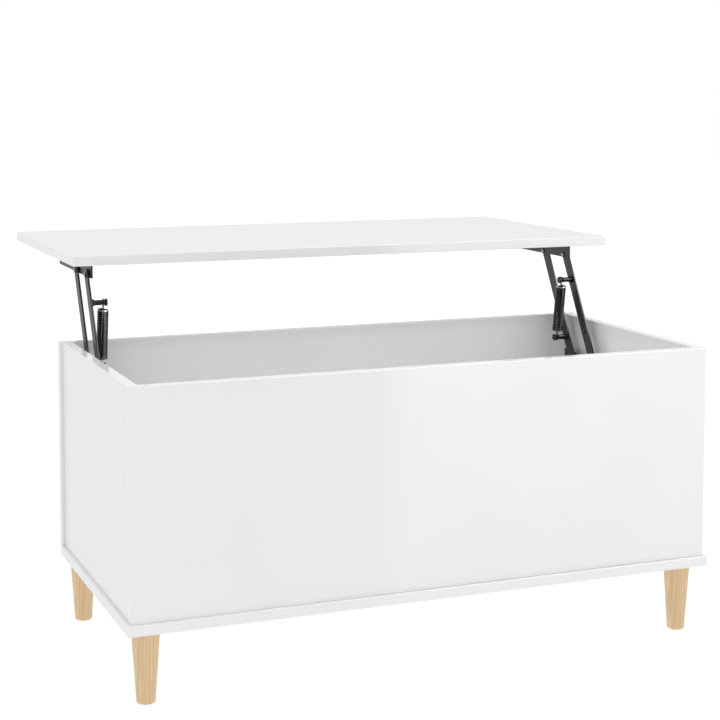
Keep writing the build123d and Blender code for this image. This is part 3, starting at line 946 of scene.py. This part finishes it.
class LIFTTABLE_OT_posts(bpy.types.Operator):
    """Turns the grooved posts that the springs hook on"""

    bl_idname = "lift_table.posts"
    bl_label = "Posts"
    bl_options = {"REGISTER", "UNDO"}

    # Millimetres, as (radius, height): the head, the groove for the eye, the neck, the collar, the stub
    POST = [
        (0, 0), (5.5, 0), (5.5, 3.5), (3, 3.5), (3, 8.5), (4, 8.5), (4, 20.5), (5.5, 20.5),
        (5.5, 24.5), (4, 24.5), (4, 27.5), (0, 27.5),
    ]
    # The number of a corner of that outline, and the radius it is softened to in millimetres
    ROUNDS = [(1, 0.9), (2, 0.7), (5, 0.4), (7, 0.7), (8, 0.5)]

    def execute(self, context):
        rounds = [(number, radius * MM) for number, radius in self.ROUNDS]
        for level in ("upper", "lower"):
            for side, turn in SIDES.items():
                node = f"{level}_post_{side}"
                spot = middle(f"{level}_post_right")
                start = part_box(f"{level}_post_right")[0].x
                shape = turned(metres(self.POST), rounds, SMALL_ROUND)
                place = turn @ at(start, spot.y, spot.z) @ ALONG_X
                bmesh.ops.transform(shape, matrix=place, verts=shape.verts)
                mounted(f"turned_{node}", shape, [black_oxide()], "zinc_steel", node)
        return {"FINISHED"}


class LIFTTABLE_OT_springs(bpy.types.Operator):
    """Winds the two tension springs with their hooks"""

    bl_idname = "lift_table.springs"
    bl_label = "Springs"
    bl_options = {"REGISTER", "UNDO"}

    # Facets round the wire, steps in a full turn of coil, bend and neck, and the arc of the eye
    WIRE_ROUND, COIL_STEPS, BEND_STEPS, NECK_STEPS = 12, 24, 32, 40
    EYE_ARC = math.radians(285)

    def execute(self, context):
        settings = context.scene.lift_table_springs
        upper, lower = middle("upper_post_right"), middle("lower_post_right")
        axis = (lower - upper).normalized()
        reach = (lower - upper).length
        groove_x = middle("spring_upper_right").x
        centre = Vector((groove_x, *((upper + lower) / 2).yz))
        lean = math.atan2(axis.y, -axis.z)
        for side, turn in SIDES.items():
            shape = self.wound(settings, reach / 2)
            place = turn @ Matrix.Translation(centre) @ Matrix.Rotation(lean, 4, "X")
            bmesh.ops.transform(shape, matrix=place, verts=shape.verts)
            nodes = (f"spring_upper_{side}", f"spring_lower_{side}")
            name, finishes = f"tension_spring_{side}", [spring_black(), zinc_plate()]
            piece = finished(name, shape, finishes, "spring_steel", *nodes)
            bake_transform(piece)
        return {"FINISHED"}

    def wound(self, settings, half):
        """A spring about Z with its middle at the origin. Half of it is swept, and turned over for the
        rest. The turn next to each hook gets the light zinc finish as a painted highlight, standing in for
        the bright ring that turn shows."""
        wire = settings.wire / 2
        coil = settings.outer / 2 - wire
        rise = half - settings.coil_start
        bend, neck, eye = settings.shank_bend, settings.neck_bend, settings.eye
        inward = (coil * coil - bend * bend) / (2 * coil)
        leave = math.atan2(bend, inward)
        neck_drop = math.sqrt(2 * neck * eye + eye * eye)
        neck_turn = math.atan2(neck_drop, neck)
        shape = bmesh.new()
        ring = bmesh.ops.create_circle(
            shape, cap_ends=False, radius=wire, segments=self.WIRE_ROUND
        )["verts"]
        upright = Matrix.Rotation(math.pi / 2, 3, "X")
        bmesh.ops.rotate(shape, cent=(0, 0, 0), matrix=upright, verts=ring)
        bmesh.ops.translate(shape, vec=(coil, 0, 0), verts=ring)
        end = ring + shape.edges[:]
        turns = math.tau * settings.half_turns + leave
        end = self.swept(shape, end, (0, 0, 0), (0, 0, 1), turns, self.COIL_STEPS, rise)
        bend_in = math.pi - leave
        end = self.swept(shape, end, (inward, bend, rise), (0, 0, 1), bend_in, self.COIL_STEPS)
        end = self.swept(shape, end, (0, bend, rise + bend), (-1, 0, 0), math.pi / 2, self.BEND_STEPS)
        straight = bmesh.ops.extrude_edge_only(shape, edges=edges_of(end))
        moved = verts_of(straight)
        lift = half - neck_drop - rise - bend
        bmesh.ops.translate(shape, vec=(0, 0, lift), verts=moved)
        end = moved + [e for e in edges_of(straight["geom"]) if all(v in moved for v in e.verts)]
        neck_centre = (0, neck, half - neck_drop)
        end = self.swept(shape, end, neck_centre, (-1, 0, 0), neck_turn, self.NECK_STEPS)
        end = self.swept(shape, end, (0, 0, half), (1, 0, 0), self.EYE_ARC, self.BEND_STEPS)
        bmesh.ops.edgeloop_fill(shape, edges=edges_of(end))
        # Painted highlight: faces at the turn next to each hook take the light zinc finish, in place of
        # the bright ring of reflected light on that turn.
        for face in shape.faces:
            height = face.calc_center_median().z
            face.material_index = int(abs(height - rise) < 0.6 * settings.wire)
        twin = bmesh.ops.duplicate(shape, geom=shape.verts[:] + shape.edges[:] + shape.faces[:])
        over = Matrix.Rotation(math.pi, 3, "X")
        bmesh.ops.rotate(shape, cent=(0, 0, 0), matrix=over, verts=verts_of(twin))
        return shape

    def swept(self, shape, end, centre, axis, angle, steps_per_turn, rise=0.0):
        """Sweeps the open end of the wire round an axis, rising evenly, and gives back the new end."""
        steps = max(3, math.ceil(steps_per_turn * angle / math.tau))
        path = bmesh.ops.spin(
            shape, geom=end, cent=centre, axis=axis, angle=angle, steps=steps, dvec=(0, 0, rise / steps)
        )
        return path["geom_last"]


class LIFTTABLE_OT_screws(bpy.types.Operator):
    """Drives the bracket screws and the long screws under the slab"""

    bl_idname = "lift_table.screws"
    bl_label = "Screws"
    bl_options = {"REGISTER", "UNDO"}

    # A screw's head radius and height and its shank's radius, and where the top bracket's screws are
    HEAD, HEAD_HEIGHT, SHANK = 4 * MM, 2.2 * MM, 2 * MM
    TOP_Y = (150 * MM, 194 * MM, 285 * MM, 350 * MM)

    def execute(self, context):
        plate = context.scene.lift_table_linkage.plate
        head, head_height, shank = self.HEAD, self.HEAD_HEIGHT, self.SHANK
        low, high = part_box("base_bracket_screws")
        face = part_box("base_bracket_right")[1].x - plate
        places = [
            at(face, y, z) @ ALONG_X
            for y in (low.y + head, high.y - head) for z in (low.z + head, high.z - head)
        ]
        shape = copies(screw(head, head_height, shank, high.x - face), both_sides(places))
        mounted("pan_base_bracket_screws", shape, [zinc_plate()], "zinc_steel", "base_bracket_screws")
        low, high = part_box("top_bracket_screws")
        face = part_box("top_bracket_right")[1].z - plate
        places = [at(high.x - head, y, face) for y in self.TOP_Y]
        shape = copies(screw(head, head_height, shank, high.z - face), both_sides(places))
        mounted("pan_top_bracket_screws", shape, [zinc_plate()], "zinc_steel", "top_bracket_screws")
        refinished(zinc_plate(), "base_screws")
        return {"FINISHED"}


class LIFTTABLE_OT_fittings(bpy.types.Operator):
    """Makes the cam locks and bumper pads, and finishes the hidden joinery"""

    bl_idname = "lift_table.fittings"
    bl_label = "Fittings"
    bl_options = {"REGISTER", "UNDO"}

    CAM, PAD = 7.5 * MM, 4 * MM
    # Millimetres, as (radius, height): the flat cap of a cam lock and the groove round it
    CAP = [(0, 0), (5.9, 0), (6.1, 0.25), (6.5, 0.25), (6.7, 0)]

    def execute(self, context):
        low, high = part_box("cam_locks")
        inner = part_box("side_panel_right")[0].x
        depth, radius = high.x - inner, self.CAM
        profile = metres(self.CAP) + [(radius, 0), (radius, depth), (0, depth)]
        cam = turned(profile, [(5, 0.4 * MM)], SMALL_ROUND)
        places = [
            at(inner, y, z) @ ALONG_X
            for y in (low.y + radius, high.y - radius) for z in (low.z + radius, high.z - radius)
        ]
        shape = copies(cam, both_sides(places))
        mounted("capped_cam_locks", shape, [cap_plastic()], "cam_zinc", "cam_locks")
        low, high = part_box("bumper_pads")
        depth, radius = high.z - low.z, self.PAD
        pad = turned(
            [(0, 0), (radius, 0), (radius, depth), (0, depth)], [(2, 0.6 * MM)], SMALL_ROUND
        )
        places = both_sides([at(high.x - radius, y, low.z) for y in (low.y + radius, high.y - radius)])
        mounted("domed_bumper_pads", copies(pad, places), [soft_pad()], "pad_rubber", "bumper_pads")
        refinished(raw_beech(), "dowels")
        refinished(zinc_plate(), "cam_bolts", "leg_hanger_bolts", "leg_inserts")
        return {"FINISHED"}


class LIFTTABLE_PT_build(bpy.types.Panel):
    """The building steps and their settings"""

    bl_idname = "LIFTTABLE_PT_build"
    bl_label = "Lift Table"
    bl_space_type = "VIEW_3D"
    bl_region_type = "UI"
    bl_category = "Lift Table"

    def draw(self, context):
        for step in STEPS:
            self.layout.operator(step.bl_idname)
        for name, group in SETTINGS.items():
            box = self.layout.box()
            for entry in group.__annotations__:
                box.prop(getattr(context.scene, name), entry)


STEPS = (
    LIFTTABLE_OT_stage,
    LIFTTABLE_OT_boards,
    LIFTTABLE_OT_legs,
    LIFTTABLE_OT_arms,
    LIFTTABLE_OT_brackets,
    LIFTTABLE_OT_pivots,
    LIFTTABLE_OT_posts,
    LIFTTABLE_OT_springs,
    LIFTTABLE_OT_screws,
    LIFTTABLE_OT_fittings,
)
CLASSES = (*SETTINGS.values(), *STEPS, LIFTTABLE_PT_build)


def register():
    for part in CLASSES:
        bpy.utils.register_class(part)
    for name, group in SETTINGS.items():
        setattr(bpy.types.Scene, name, PointerProperty(type=group))


def unregister():
    for name in SETTINGS:
        delattr(bpy.types.Scene, name)
    for part in reversed(CLASSES):
        bpy.utils.unregister_class(part)


def main():
    """Builds the whole table."""
    register()
    for step in STEPS:
        group, name = step.bl_idname.split(".")
        getattr(getattr(bpy.ops, group), name)()


if __name__ == "__main__":
    main()
